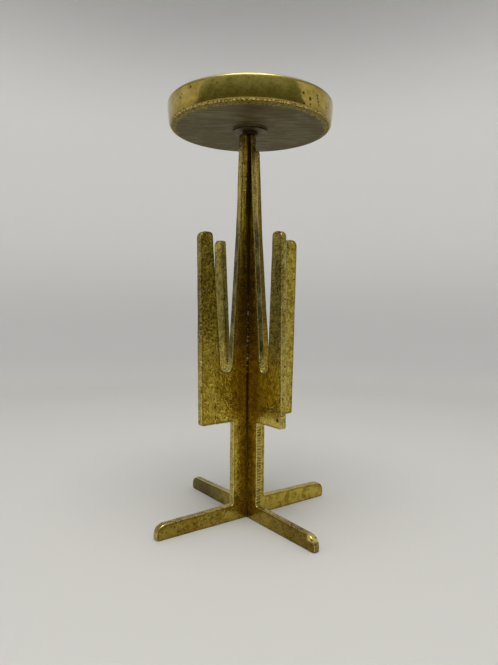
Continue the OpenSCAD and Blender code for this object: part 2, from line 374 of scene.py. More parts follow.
def well_inside(points, ring, margin):
    """True for points in a closed ring and over margin from its points. A ray to the right crosses the ring
    an odd number of times. The points are taken in blocks to save memory."""
    after = np.roll(ring, -1, axis=0)
    rise = after[:, 1] - ring[:, 1]
    slope = (after[:, 0] - ring[:, 0]) / np.where(rise == 0, 1, rise)
    block_size = 2000
    answers = []
    for block in np.array_split(points, 1 + len(points) // block_size):
        u, z = block[:, :1], block[:, 1:]
        spans = (ring[:, 1] > z) != (after[:, 1] > z)
        crossed = spans & (u < ring[:, 0] + (z - ring[:, 1]) * slope)
        near = ((ring[:, 0] - u) ** 2 + (ring[:, 1] - z) ** 2).min(axis=1) < margin ** 2
        answers.append((crossed.sum(axis=1) % 2 == 1) & ~near)
    return np.concatenate(answers)


def waves(points, longest, shortest, count, seed):
    """A smooth uneven height from -1 to 1: a sum of sine waves in random directions, the long ones the
    highest."""
    draw = np.random.default_rng(seed)
    lengths = np.geomspace(longest, shortest, count)
    directions = draw.normal(size=(count, points.shape[1]))
    directions /= np.linalg.norm(directions, axis=1)[:, None]
    phases = draw.uniform(0, 2 * np.pi, count)
    return np.sin(points @ (2 * np.pi * directions / lengths[:, None]).T + phases) @ (lengths / lengths.sum())


def cast_plate(name, outline, thickness, seed):
    """A plate in the XZ plane: a half-round section carried along its outline, closed by two triangulated
    faces. The outline first wanders in and out by up to file_depth and its edge's radius by a share of
    edge_r_change, and then the skin wanders by up to skin_depth."""
    line = spaced(outline, outline_step)
    radius = line[:, 2]
    cast_edge = radius > edge_r / 2
    edge = drawn_in(line[:, :2], file_depth * waves(line[:, :2], *file_waves, seed) * cast_edge)
    radius = radius * (1 + edge_r_change * waves(line[:, :2], *edge_r_waves, seed + 1) * cast_edge)
    turn = np.radians(np.linspace(-90, 90, 2 * rim_steps + 1))
    turn = np.insert(turn, rim_steps, 0)
    side = np.where(np.arange(len(turn)) <= rim_steps, -1, 1)
    rings = np.stack([drawn_in(edge, radius * (1 - np.cos(a))) for a in turn])
    depth = side[:, None] * (thickness / 2 - radius) + np.sin(turn)[:, None] * radius
    rim = np.dstack([rings[:, :, 0], depth, rings[:, :, 1]]).reshape(-1, 3)
    count = len(line)
    here, beside = ring_corners(len(turn), count)
    rim_faces = np.stack([here, here + count, beside + count, beside], axis=-1).reshape(-1, 4)

    ring = rings[0]
    low, high = ring.min(axis=0), ring.max(axis=0)
    across = np.arange(low[0], high[0], face_step)
    upward = np.arange(low[1], high[1], face_step * math.sqrt(3) / 2)
    u, z = np.meshgrid(across, upward)
    u = u + (np.arange(len(upward))[:, None] % 2) * face_step / 2
    field = np.column_stack([u.ravel(), z.ravel()])
    field = field[well_inside(field, ring, face_margin)]
    flat = np.vstack([ring, field]).tolist()
    inside_only, same_place = 1, 1e-9
    _, _, triangles, came_from, _, _ = delaunay_2d_cdt(
        flat, [], [list(range(count))], inside_only, same_place)
    index = np.array([ids[0] for ids in came_from])
    front = index[np.array(triangles)]
    inner = front >= count
    back = np.where(inner, front + len(rim) - count + len(field), front + len(rim) - count)[:, ::-1]
    front = np.where(inner, front + len(rim) - count, front)
    half = thickness / 2
    points = np.vstack([
        rim,
        np.column_stack([field[:, 0], np.full(len(field), -half), field[:, 1]]),
        np.column_stack([field[:, 0], np.full(len(field), half), field[:, 1]]),
    ])
    piece = new_piece(name, points, [*rim_faces.tolist(), *front.tolist(), *back.tolist()])
    mesh = piece.data
    spots = np.empty(len(mesh.vertices) * 3, np.float32)
    normals = np.empty(len(mesh.vertices) * 3, np.float32)
    mesh.vertices.foreach_get("co", spots)
    mesh.vertex_normals.foreach_get("vector", normals)
    spots, normals = spots.reshape(-1, 3).astype(float), normals.reshape(-1, 3)
    depth = (half - np.abs(spots[:, 1])) / edge_r
    shares = {
        "end_face": np.clip((depth - 0.3) / 0.5, 0, 1),
        "crease": np.clip((depth - 0.1) / 0.2, 0, 1) * np.clip((1 - depth) / 0.4, 0, 1),
        "border": np.clip(1 - 10 * depth, 0, 1) * ~well_inside(spots[:, [0, 2]], ring, border_w),
    }
    spots += normals * (skin_depth * waves(spots, *skin_waves, seed + 2))[:, None]
    spots[:, 2] = np.maximum(spots[:, 2], 0)
    mesh.vertices.foreach_set("co", spots.astype(np.float32).ravel())
    for title, share in shares.items():
        mesh.attributes.new(title, "FLOAT", "POINT").data.foreach_set("value", share.astype(np.float32))
    return piece


def with_edge(points):
    """An arm's outline with the radius of its cast edge as a third column."""
    return np.column_stack([points, np.full(len(points), edge_r)])


def turned_over(points):
    """An outline mirrored to the other side, in reverse so that it still runs the same way round."""
    return points[::-1] * [-1, 1, 1]


left_right_outline = np.vstack([
    with_edge(arm(right_lean, foot_more=right_foot_more, root_more=right_root_more, short=True)),
    turned_over(with_edge(arm(left_lean, top_more=left_top_more))),
    slot_line(front_back_t / 2 + slot_gap, -sole_cut, lap_z, -1),
])
front_back_outline = np.vstack([
    with_edge(arm(back_lean)),
    slot_line(left_right_t / 2 + slot_gap, spike_top_z, lap_z, 1),
    turned_over(with_edge(arm(front_lean, root_more=front_edge_more, mid_more=-front_mid_less,
                              top_more=-front_top_less, top_r=front_top_r))),
])
left_right = cast_plate("cast_plate_left_right", left_right_outline, left_right_t, left_right_seed)
front_back = cast_plate("cast_plate_front_back", front_back_outline, front_back_t, front_back_seed)
front_back.data.transform(Matrix.Rotation(math.pi / 2, 4, "Z"))


def math_node(tree, operation, first, *others):
    """The output of Math nodes that take the values one after another by one operation."""
    result = first
    for value in others or (0,):
        result = put(tree, "ShaderNodeMath", {0: result, 1: value}, operation=operation).outputs["Value"]
    return result


def product(tree, *values):
    """The output of Math nodes that multiply the values together."""
    return math_node(tree, "MULTIPLY", *values)


def band(tree, value, low, high, soft):
    """The output of a mask that is 1 from low to high and fades out within soft on both sides."""
    return product(tree, ramp(tree, value, low - soft, low), ramp(tree, value, high + soft, high))


def stained(tree, base, colour, share, *masks):
    """The base colour gone over to another one by the share where all the masks are 1, less elsewhere."""
    return mixed(tree, product(tree, *masks, share), base, colour)


def noise(tree, vector, length, detail=4.0, roughness=0.55):
    """The output of a Noise texture whose lumps are about length across, in metres."""
    node = put(tree, "ShaderNodeTexNoise", {
        "Vector": vector, "Scale": 1 / length, "Detail": detail, "Roughness": roughness})
    return node.outputs["Fac"]


def distance_to(tree, place, point):
    """The output of a Vector Math node that measures how far a place is from a fixed point."""
    return put(tree, "ShaderNodeVectorMath", {0: place, 1: point}, operation="DISTANCE").outputs["Value"]


def attribute(tree, name):
    """The output of a value that is stored at the mesh's points."""
    return put(tree, "ShaderNodeAttribute", attribute_name=name).outputs["Fac"]


def bumped(tree, height, depth, strength, **base):
    """The normal of a surface raised by height times depth, in metres. Normal is the one it starts from."""
    node = put(tree, "ShaderNodeBump", {"Strength": strength, "Distance": depth, "Height": height, **base})
    return node.outputs["Normal"]


def set_metal(tree, output, colour, roughness, normal):
    """Joins a bare metal of this colour, roughness and normal to a material's output."""
    surface = put(tree, "ShaderNodeBsdfPrincipled", {
        "Base Color": colour, "Metallic": 1.0, "Roughness": roughness, "Normal": normal})
    tree.links.new(surface.outputs["BSDF"], output.inputs["Surface"])


def new_group(name, inputs, outputs):
    """A shader node group with Vector as its first input, and named float inputs and outputs."""
    group = bpy.data.node_groups.new(name, "ShaderNodeTree")
    group.interface.new_socket("Vector", in_out="INPUT", socket_type="NodeSocketVector")
    for socket, value in inputs.items():
        made = group.interface.new_socket(socket, in_out="INPUT", socket_type="NodeSocketFloat")
        made.default_value = value
    for socket in outputs:
        group.interface.new_socket(socket, in_out="OUTPUT", socket_type="NodeSocketFloat")
    return group, group.nodes.new("NodeGroupInput"), group.nodes.new("NodeGroupOutput")


# The skin that the sand mould leaves: soft lumps, worm-like ridges where a noise passes through its middle
# value, and pits where gas or sand stood in the metal
crinkle_size = 2.2 * mm
crinkle_reach = 1.5 * mm
lump_size = 3.6 * mm
grain_size = 1.6 * mm
worm_size = 2.8 * mm
worm_fade = (0.075, 0.01)
drift_size = 10 * mm
pit_cell = 1.7 * mm
fine_pit_size = 1.5 * mm

casting_skin, group_in, group_out = new_group(
    "casting_skin", {"Worms": 0.4, "Pit Share": 0.3, "Fine Pits": 0.0}, ["Height", "Pits", "Mottle"])
tree = casting_skin
spot, worm_share = group_in.outputs["Vector"], group_in.outputs["Worms"]
crinkle = put(tree, "ShaderNodeTexNoise", {"Vector": spot, "Scale": 1 / crinkle_size, "Detail": 1.0})
bent = put(tree, "ShaderNodeVectorMath", {
    0: crinkle.outputs["Color"], 1: (crinkle_reach,) * 3, 2: spot}, operation="MULTIPLY_ADD")
bent = bent.outputs["Vector"]
lumps = noise(tree, bent, lump_size, 3.0, 0.55)
grain = noise(tree, bent, grain_size, 2.0, 0.5)
wander = math_node(tree, "SUBTRACT", noise(tree, bent, worm_size, 1.0, 0.5), 0.5)
worms = product(tree, ramp(tree, math_node(tree, "ABSOLUTE", wander), *worm_fade), worm_share)

# A pit sits in the middle of each cell, its size left to chance, and where a slow noise is low there is none
cells = put(tree, "ShaderNodeTexVoronoi", {"Vector": bent, "Scale": 1 / pit_cell})
chance = put(tree, "ShaderNodeSeparateColor", {"Color": cells.outputs["Color"]}).outputs["Red"]
drift = ramp(tree, noise(tree, spot, drift_size, 3.0, 0.6), 0.4, 0.62)
pit_reach = product(tree, group_in.outputs["Pit Share"], product(tree, drift, chance))
hole = put(tree, "ShaderNodeMapRange", {
    "Value": math_node(tree, "SUBTRACT", pit_reach, cells.outputs["Distance"]),
    "From Min": -0.05, "From Max": 0.1}).outputs["Result"]
fine = math_node(tree, "ADD", noise(tree, bent, fine_pit_size, 2.0, 0.6),
                 product(tree, group_in.outputs["Fine Pits"], 0.3))
pits = math_node(tree, "MAXIMUM", hole, ramp(tree, fine, 0.76, 0.84))

height = math_node(tree, "ADD", lumps, product(tree, grain, 0.35), product(tree, worms, 0.42))
height = math_node(tree, "SUBTRACT", height, product(tree, pits, 0.5))
mottle = math_node(tree, "ADD", product(tree, lumps, 0.55), product(tree, grain, 0.45))
quiet = ramp(tree, worm_share, 0, 1, 0.9, 0.45)
mottle = product(tree, ramp(tree, mottle, 0.4, 0.6), quiet)
mottle = math_node(tree, "ADD", mottle, product(tree, worms, 0.95))
for socket, value in (("Height", height), ("Pits", pits), ("Mottle", mottle)):
    tree.links.new(value, group_out.inputs[socket])

# Colours of the cast brass. A pair is the two ends of a tint that the skin, a stain or a file's stroke mixes.
cast_gold = ((0.3, 0.21, 0.016, 1), (0.66, 0.52, 0.09, 1))
cast_brown = ((0.17, 0.1, 0.006, 1), (0.4, 0.28, 0.03, 1))
foot_gold = ((0.6, 0.46, 0.08, 1), (0.3, 0.2, 0.02, 1))
near_toe_brown = (0.13, 0.078, 0.007, 1)
far_toe_brown_and_shade = (0.075, 0.053, 0.014, 1)
smear_brown = (0.24, 0.165, 0.014, 1)
wing_edge_gold = (0.8, 0.64, 0.16, 1)
core_brown = ((0.22, 0.13, 0.008, 1), (0.42, 0.29, 0.035, 1))
heart_brown = (0.1, 0.06, 0.007, 1)
streak_gold = ((0.24, 0.15, 0.012, 1), (0.66, 0.51, 0.1, 1))
shade_brown = (0.14, 0.1, 0.014, 1)
corner_brown_and_shade = (0.14, 0.07, 0.012, 1)
dull_olive = ((0.11, 0.085, 0.01, 1), (0.36, 0.285, 0.052, 1))
filed_olive = ((0.13, 0.1, 0.018, 1), (0.38, 0.3, 0.07, 1))
border_brown = (0.12, 0.08, 0.01, 1)
end_gold = ((0.27, 0.21, 0.033, 1), (0.58, 0.47, 0.13, 1))
end_grey = ((0.03, 0.028, 0.01, 1), (0.12, 0.11, 0.047, 1))
end_tan = ((0.2, 0.135, 0.03, 1), (0.45, 0.33, 0.1, 1))
notch_brown = (0.17, 0.13, 0.035, 1)
pitted_end_brown = (0.18, 0.14, 0.035, 1)
tooth_gold = ((0.05, 0.033, 0.005, 1), (0.45, 0.34, 0.065, 1))
crease_wear_and_highlight_gold = (0.78, 0.65, 0.27, 1)
toe_glint_gold = (0.92, 0.76, 0.24, 1)
pit_brown = (0.07, 0.05, 0.007, 1)

# Places on an arm, by how far out and how high they lie. A pair goes from where a mask starts to where it is
# whole. A belt is its lowest and highest place, and how softly it fades.
near_side, far_side = (3 * mm, -3 * mm), (-3 * mm, 3 * mm)
prong_out, prong_up = (17 * mm, 24 * mm), (98 * mm, 125 * mm)
prong_top = (178 * mm, 172 * mm)
spike_out, spike_up = (17 * mm, 14 * mm), (98 * mm, 110 * mm)
wing_out, wing_belt = (8 * mm, 18 * mm), (64 * mm, 100 * mm, 12 * mm)
wing_edge_out, wing_edge_belt = (12 * mm, 16 * mm), (60 * mm, 68 * mm, 3 * mm)
foot_up, toe_out = (13 * mm, 10 * mm), (15 * mm, 48 * mm)
toe_glint_out, toe_glint_up = (59.5 * mm, 62 * mm), (5 * mm, 6.5 * mm)
smear_out, smear_up = (14 * mm, 20 * mm), (92 * mm, 104 * mm)
middle_out, middle_belt = (19 * mm, 11 * mm), (70 * mm, 190 * mm, 10 * mm)
shaded_stem_out, shaded_stem_up = (11 * mm, 7 * mm), (70 * mm, 62 * mm)
heart_out, heart_belt = (14 * mm, 10 * mm), (122 * mm, 176 * mm, 20 * mm)
streaked_up = (150 * mm, 195 * mm)
shade_out, shade_up = (4 * mm, 6 * mm), (110 * mm, 130 * mm)
corner_out, corner_up = (5 * mm, 4 * mm), (190 * mm, 205 * mm)
tan_up = (180 * mm, 200 * mm)
notch_out = (31.5 * mm, 30.5 * mm)
tooth_belt = (10 * mm, 60 * mm, 3 * mm)
wrinkle_belt = (73 * mm, 75.5 * mm, 0.8 * mm)
hole_place, hole_r = (-2 * mm, -33 * mm, 69.4 * mm), (1.5 * mm, 0.9 * mm)

# How far across the patterns are, and how high the skin stands
patch_size = 14 * mm
blotch_size = 9 * mm
stain_size = 4 * mm
sheen_size = 4 * mm
streak_w = 1.3 * mm
stroke_w = 1 * mm
tooth_step = 1.8 * mm
wobble_size = 2 * mm
wrinkle_size = 0.9 * mm
cast_relief = 0.3 * mm


def cast_brass(name, along, pitted, filed, dull, near_foot_brown, far_foot_brown_and_shade):
    """Aged cast brass for one plate, whose arms run along the axis X or Y. The last five, from 0 to 1, are
    how far the near prong and spike are pitted and stained, how plain the marks of the file are on the near
    prong and on the stem's near edge, how far the prongs have gone dull, how brown the near foot is, and how
    dark the far foot is, partly brown and partly painted shade."""
    material, tree, output = new_material(name)
    place, axes = own_place(tree)
    side, height = axes[along], axes["Z"]
    out = math_node(tree, "ABSOLUTE", side)

    def outward(pair, *to):
        """A mask by how far out along the arm a point lies."""
        return ramp(tree, out, *pair, *to)

    def upward(pair, *to):
        """A mask by how high a point lies."""
        return ramp(tree, height, *pair, *to)

    def within(belt):
        """A mask that is 1 between two heights."""
        return band(tree, height, *belt)

    near = ramp(tree, side, *near_side)
    far = ramp(tree, side, *far_side)
    prong = product(tree, outward(prong_out), upward(prong_up))
    wing = product(tree, outward(wing_out), within(wing_belt))
    spike = product(tree, outward(spike_out), upward(spike_up))
    foot = upward(foot_up)
    patch = noise(tree, place, patch_size, 4.0, 0.6)
    eaten = product(tree, prong, near, pitted, ramp(tree, patch, 0.3, 0.55))
    pocked = product(tree, foot, ramp(tree, side, *far_side, 1, 0.5),
                     ramp(tree, patch, 0.35, 0.6, 0.35, 0.75))
    rough_wing = product(tree, wing, ramp(tree, product(tree, near, filed), 0, 1, 1, 0.35))
    skin = put(tree, "ShaderNodeGroup", {
        "Vector": place, "Worms": ramp(tree, rough_wing, 0, 1, 0.3, 1.0), "Pit Share": 0.45,
        "Fine Pits": math_node(tree, "MAXIMUM", eaten, pocked)}, node_tree=casting_skin)
    mottle = skin.outputs["Mottle"]

    blotch = ramp(tree, noise(tree, place, blotch_size, 5.0, 0.65), 0.5, 0.66, 0, 0.7)
    tint = mixed(tree, blotch, mixed(tree, mottle, *cast_gold), mixed(tree, mottle, *cast_brown))

    # Feet: smooth with wear, brown towards the toes; towards the far toe the darkening is partly brown and
    # partly painted shade
    stain = ramp(tree, noise(tree, place, stain_size, 4.0, 0.6), 0.45, 0.6)
    toe = outward(toe_out, 0.4, 1)
    worn_feet_with_shade = mixed(tree, stain, *foot_gold)
    worn_feet_with_shade = stained(tree, worn_feet_with_shade, near_toe_brown, near_foot_brown, near, toe)
    worn_feet_with_shade = stained(tree, worn_feet_with_shade, far_toe_brown_and_shade, far_foot_brown_and_shade, far, toe)
    tint = stained(tree, tint, worn_feet_with_shade, 0.8, foot)

    # Wings: the pitted one is smeared brown at the prong's root, and the filed one paler along its lower edge
    tint = stained(tree, tint, smear_brown, 0.45, near, pitted, outward(smear_out), upward(smear_up))
    tint = stained(tree, tint, wing_edge_gold, 0.5, near, filed, outward(wing_edge_out),
                   within(wing_edge_belt))

    # Near the middle the skin was never polished and stayed brown; low on the stem, beside the inner corners,
    # the brown is partly painted shade
    core = mixed(tree, mottle, *core_brown)
    tint = stained(tree, tint, core, 0.8, outward(middle_out), within(middle_belt))
    tint = stained(tree, tint, core, 0.85, outward(shaded_stem_out), upward(shaded_stem_up))
    tint = stained(tree, tint, heart_brown, 0.65, near, pitted, outward(heart_out), within(heart_belt))

    # Spike: streaked upwards, with painted shade along the far arm, and dark in the upper inner corners,
    # partly brown and partly painted shade
    upright = put(tree, "ShaderNodeMapping", {"Vector": place, "Scale": (1, 1, 0.06)}).outputs["Vector"]
    streak = ramp(tree, noise(tree, upright, streak_w, 2.0, 0.5), 0.38, 0.62)
    tint = stained(tree, tint, mixed(tree, streak, *streak_gold), 0.75, spike, upward(streaked_up))
    tint = stained(tree, tint, shade_brown, 0.75, far, pitted, spike, outward(shade_out), upward(shade_up))
    tint = stained(tree, tint, corner_brown_and_shade, 0.8, outward(corner_out), upward(corner_up))

    # Prongs: dull olive, with short level strokes of the file on the near one
    tint = stained(tree, tint, mixed(tree, mottle, *dull_olive), dull, prong, upward(prong_top, 0.35, 1))
    level = put(tree, "ShaderNodeMapping", {"Vector": place, "Scale": (0.12, 0.12, 1)}).outputs["Vector"]
    stroke = ramp(tree, noise(tree, level, stroke_w, 2.0, 0.5), 0.4, 0.62)
    tint = stained(tree, tint, mixed(tree, stroke, *filed_olive), 0.6, prong, near, filed)
    tint = stained(tree, tint, border_brown, 0.6, attribute(tree, "border"))

    # End faces: filed gold on the prongs and stem, grey in the spike's lower part, tan above, dark inside the
    # notches, and toothed by the file down the front stem
    spike_end = mixed(tree, upward(tan_up), mixed(tree, mottle, *end_grey), mixed(tree, streak, *end_tan))
    end_tint = mixed(tree, spike, mixed(tree, mottle, *end_gold), spike_end)
    end_tint = stained(tree, end_tint, notch_brown, 0.8, outward(notch_out), prong)
    end_tint = stained(tree, end_tint, pitted_end_brown, 0.85, near, prong, pitted)
    turn = product(tree, height, 2 * math.pi / tooth_step)
    wobble = product(tree, noise(tree, place, wobble_size, 2.0, 0.5), 9.0)
    teeth = ramp(tree, math_node(tree, "SINE", math_node(tree, "ADD", turn, wobble)), -0.5, 0.5)
    toothed = mixed(tree, teeth, *tooth_gold)
    end_tint = stained(tree, end_tint, toothed, 0.85, within(tooth_belt), near, filed)
    end_share = product(tree, attribute(tree, "end_face"), ramp(tree, foot, 0, 1, 0.9, 0.3))
    tint = mixed(tree, end_share, tint, end_tint)

    # Creases are bright with wear and carry a painted highlight; the filed plate's near toe carries a painted
    # glint
    crease_wear_and_highlight = product(tree, attribute(tree, "crease"), ramp(tree, foot, 0, 1, 0.55, 0.75))
    toe_glint = product(tree, foot, near, filed, outward(toe_glint_out), upward(toe_glint_up))
    tint = mixed(tree, crease_wear_and_highlight, tint, crease_wear_and_highlight_gold)
    tint = stained(tree, tint, toe_glint_gold, 0.7, toe_glint)

    # A wrinkled line and one deep hole low on the front wing
    wrinkle = product(tree, within(wrinkle_belt), near, filed, outward(wing_edge_out),
                      ramp(tree, noise(tree, level, wrinkle_size, 2.0, 0.5), 0.45, 0.52))
    marks = math_node(tree, "MAXIMUM", product(tree, wrinkle, 0.5),
                      ramp(tree, distance_to(tree, place, hole_place), *hole_r))
    pits = math_node(tree, "MAXIMUM", product(tree, skin.outputs["Pits"], 0.85), marks)
    tint = mixed(tree, pits, tint, pit_brown)

    relief = math_node(tree, "SUBTRACT", skin.outputs["Height"], product(tree, marks, 0.6))
    relief = product(tree, relief, ramp(tree, foot, 0, 1, 1, 0.45))
    roughness = ramp(tree, noise(tree, place, sheen_size), 0.35, 0.7, 0.16, 0.3)
    roughness = math_node(tree, "ADD", roughness, product(tree, toe_glint, 0.06))
    set_metal(tree, output, tint, roughness, bumped(tree, relief, cast_relief, 1.0))
    return material


left_right.data.materials.append(cast_brass(
    "cast_brass_left_right", "X", pitted=1.0, filed=0.0, dull=0.1, near_foot_brown=0.65, far_foot_brown_and_shade=0.0))
front_back.data.materials.append(cast_brass(
    "cast_brass_front_back", "Y", pitted=0.2, filed=1.0, dull=0.85, near_foot_brown=0.95, far_foot_brown_and_shade=1.0))
for plate, node in ((left_right, "left_right_plate"), (front_back, "front_back_plate")):
    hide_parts(node)
    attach(plate, "root")


# Brazed seams
# Hard solder run into the four inner corners where the plates cross. It set as a hollow, uneven fillet
# and has gone dark brown, with a few bright beads.
seam_r = 0.9 * mm
seam_edge = 0.1 * mm
seam_steps = 6
seam_low = 1 * mm
seam_high = 245.6 * mm
seam_step = 0.8 * mm
seam_change = 0.16
seam_waves = (20 * mm, 2 * mm, 12)
seam_lap_share = 0.1
seam_seed = 70
seam_top_brown = (0.04, 0.02, 0.006, 1)
seam_foot_brown = (0.11, 0.07, 0.014, 1)
seam_brown_z = (80 * mm, 40 * mm)
bead_gold = (0.6, 0.5, 0.3, 1)
bead_belt = (100 * mm, 138 * mm, 8 * mm)
bead_size = 1.1 * mm
seam_lump_size = 1.2 * mm
seam_relief = 0.15 * mm


def seam(x_side, y_side, seed):
    """A strip in one inner corner: a hollow section carried up the corner, its reach changing with height and
    its back lapping a little into both plates."""
    z = np.arange(seam_low, seam_high, seam_step)
    reach = seam_r * (1 + seam_change * waves(z[:, None], *seam_waves, seed))
    a = np.radians(np.linspace(270, 180, seam_steps + 1))
    hollow = 1 + (1 - seam_edge / seam_r) * np.column_stack([np.cos(a), np.sin(a)])
    back = -seam_lap_share
    section = np.vstack([[back, back], [1, back], hollow, [back, 1]])
    rows = reach[:, None, None] * section
    x = x_side * (front_back_t / 2 + rows[:, :, 0])
    y = y_side * (left_right_t / 2 + rows[:, :, 1])
    points = np.dstack([x, y, np.repeat(z[:, None], len(section), axis=1)]).reshape(-1, 3)
    count = len(section)
    here, beside = ring_corners(len(z), count)
    faces = np.stack([here, beside, beside + count, here + count], axis=-1).reshape(-1, 4).tolist()
    faces += [list(range(count))[::-1], list(range((len(z) - 1) * count, len(z) * count))]
    return points, [face[::-1] for face in faces] if x_side * y_side < 0 else faces


seam_points, seam_faces = [], []
for number, (x_side, y_side) in enumerate([(-1, -1), (1, -1), (-1, 1), (1, 1)]):
    points, faces = seam(x_side, y_side, seam_seed + number)
    start = sum(len(part) for part in seam_points)
    seam_points.append(points)
    seam_faces += [[corner + start for corner in face] for face in faces]
seams = new_piece("brazed_seams", np.vstack(seam_points), seam_faces)

seam_finish, tree, output = new_material("brazing_metal")
place, axes = own_place(tree)
beads = product(tree, ramp(tree, noise(tree, place, bead_size, 2.0, 0.5), 0.56, 0.66),
                band(tree, axes["Z"], *bead_belt))
dark = mixed(tree, ramp(tree, axes["Z"], *seam_brown_z), seam_top_brown, seam_foot_brown)
tint = mixed(tree, beads, dark, bead_gold)
normal = bumped(tree, noise(tree, place, seam_lump_size), seam_relief, 0.9)
set_metal(tree, output, tint, ramp(tree, beads, 0, 1, 0.5, 0.3), normal)
seams.data.materials.append(seam_finish)
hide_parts("braze_seams")
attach(seams, "root")


# Collar and washer
# A short turned ring on top of the spike and a thin disc under the dish, both plain brass gone dull and dark;
# the collar and a band low on the washer's edge are darker still, partly brown and partly painted shade.
# The stud through the middle clamps them between the spike and the dish.
stud_bore_r = 2.05 * mm
collar_r = 5 * mm
collar_z = spike_top_z
washer_r = 11 * mm
washer_z = 248.4 * mm
dish_z = 250 * mm
ring_bevel = 0.3 * mm
ring_steps = 128
ring_dull = ((0.09, 0.07, 0.03, 1), (0.15, 0.122, 0.055, 1))
collar_brown_and_shade = (0.06, 0.034, 0.01, 1)
washer_up = (-0.1 * mm, 0)
washer_edge_brown_and_shade = (0.03, 0.02, 0.006, 1)
washer_edge_belt = (0.1 * mm, 0.6 * mm, 0.1 * mm)
washer_top_tan = (0.3, 0.27, 0.17, 1)
washer_top_up = (0.7 * mm, 1 * mm)
ring_patch_size = 2.5 * mm
ring_lump_size = 0.6 * mm
ring_relief = 0.05 * mm


def ring_section(inner_r, outer_r, low, high, bevel):
    """A closed rectangle (r, z) with its two outer corners rounded by bevel, the outer side running up."""
    return np.vstack([
        [[inner_r, low]],
        arc(outer_r - bevel, low + bevel, bevel, -90, 0, bevel / 3),
        arc(outer_r - bevel, high - bevel, bevel, 0, 90, bevel / 3),
        [[inner_r, high], [inner_r, low]],
    ])


collar_section = ring_section(stud_bore_r, collar_r, collar_z, washer_z, ring_bevel)
washer_section = ring_section(stud_bore_r, washer_r, washer_z, dish_z, ring_bevel)
collar = new_piece("neck_ring", *turned(collar_section, ring_steps))
washer = new_piece("washer", *turned(washer_section, ring_steps))

ring_finish, tree, output = new_material("dark_brass")
place, axes = own_place(tree)
height = math_node(tree, "SUBTRACT", axes["Z"], washer_z)
patches = ramp(tree, noise(tree, place, ring_patch_size, 4.0, 0.6), 0.4, 0.65)
# Partly painted shade: the collar under the washer and a band low on the washer's edge are darker brown
tint = mixed(tree, ramp(tree, height, *washer_up), collar_brown_and_shade, mixed(tree, patches, *ring_dull))
tint = mixed(tree, band(tree, height, *washer_edge_belt), tint, washer_edge_brown_and_shade)
tint = mixed(tree, ramp(tree, height, *washer_top_up), tint, washer_top_tan)
normal = bumped(tree, noise(tree, place, ring_lump_size), ring_relief, 0.5)
set_metal(tree, output, tint, ramp(tree, patches, 0, 1, 0.6, 0.5), normal)
for ring, node in ((collar, "neck_collar"), (washer, "support_washer")):
    ring.data.materials.append(ring_finish)
    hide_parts(node)
    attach(ring, "root")


# Dish
# A thick round dish of cast brass, turned and polished round its side, which mirrors the room softly. Its
# underside was ground flat on a belt and has gone dull grey; its floor holds the candle on a spike.
dish_rim_r = 52 * mm
dish_side_r = 51.1 * mm
dish_side_bulge = 0.22 * mm
dish_h = 15 * mm
dish_heel_r = 2.2 * mm
dish_heel_end = -10
rim_outer_r = 2.4 * mm
rim_inner_r = 0.8 * mm
dish_wall = 4.4 * mm
dish_foot_wall = 4.5 * mm
dish_floor = 4.2 * mm
dish_cove_r = 3 * mm
pricket_flange_r = 8 * mm
pricket_flange_h = 2.2 * mm
pricket_seat_gap = 0.05 * mm
dish_steps = 360
dish_step = 0.9 * mm
side_steps = 16

heel = arc(dish_side_r - dish_heel_r, dish_heel_r, dish_heel_r, -90, dish_heel_end, dish_step / 2)
rim = arc(dish_rim_r - rim_outer_r, dish_h - rim_outer_r, rim_outer_r, 0, 90, dish_step / 4)
share = np.linspace(0, 1, side_steps)[1:-1, None]
dish_side = heel[-1] * (1 - share) + rim[0] * share + [dish_side_bulge, 0] * (4 * share * (1 - share))
inner_rim = dish_rim_r - dish_wall
inner_foot = dish_side_r - dish_foot_wall
seat_r = pricket_flange_r + pricket_seat_gap
seat_z = dish_floor - pricket_flange_h
dish_section = np.vstack([
    [[stud_bore_r, 0]],
    heel,
    dish_side,
    rim,
    arc(inner_rim + rim_inner_r, dish_h - rim_inner_r, rim_inner_r, 90, 180, dish_step / 4),
    arc(inner_foot - dish_cove_r, dish_floor + dish_cove_r, dish_cove_r, 0, -90, dish_step / 2),
    [[seat_r, dish_floor], [seat_r, seat_z], [stud_bore_r, seat_z]],
])
dish_section = spaced(dish_section, dish_step)
dish_section = np.vstack([dish_section, dish_section[:1]]) + [0, dish_z]
dish_points, dish_faces = turned(dish_section, dish_steps)
dish = new_piece("dish_bowl", dish_points, dish_faces)

# The belt left a ring of cast skin along the heel, wide at the front left and gone at the back right
ground_middle = (1.7 * mm, 2.3 * mm, 0)
ground_edge_r = (50.3 * mm, 49.1 * mm)

# Places and radii of the larger pits and of a crack in the dish's side
dish_flaws = np.array([
    [-1.5, -51.6, 257.2, 1.1], [4.1, -51.4, 255.3, 1.5], [9.9, -50.9, 258.6, 1.0], [10.4, -50.7, 257.2, 0.9],
    [11.3, -50.3, 255.6, 0.9], [12.2, -49.9, 254, 0.8], [20.8, -47.2, 255.2, 1.0], [-51.6, -2.6, 257.6, 0.9],
    [-51.7, -3.9, 259.4, 0.7], [-50.5, -12.1, 261, 1.0], [4.6, -51.1, 252.4, 0.9], [-0.5, -51.2, 252, 0.9],
]) * mm

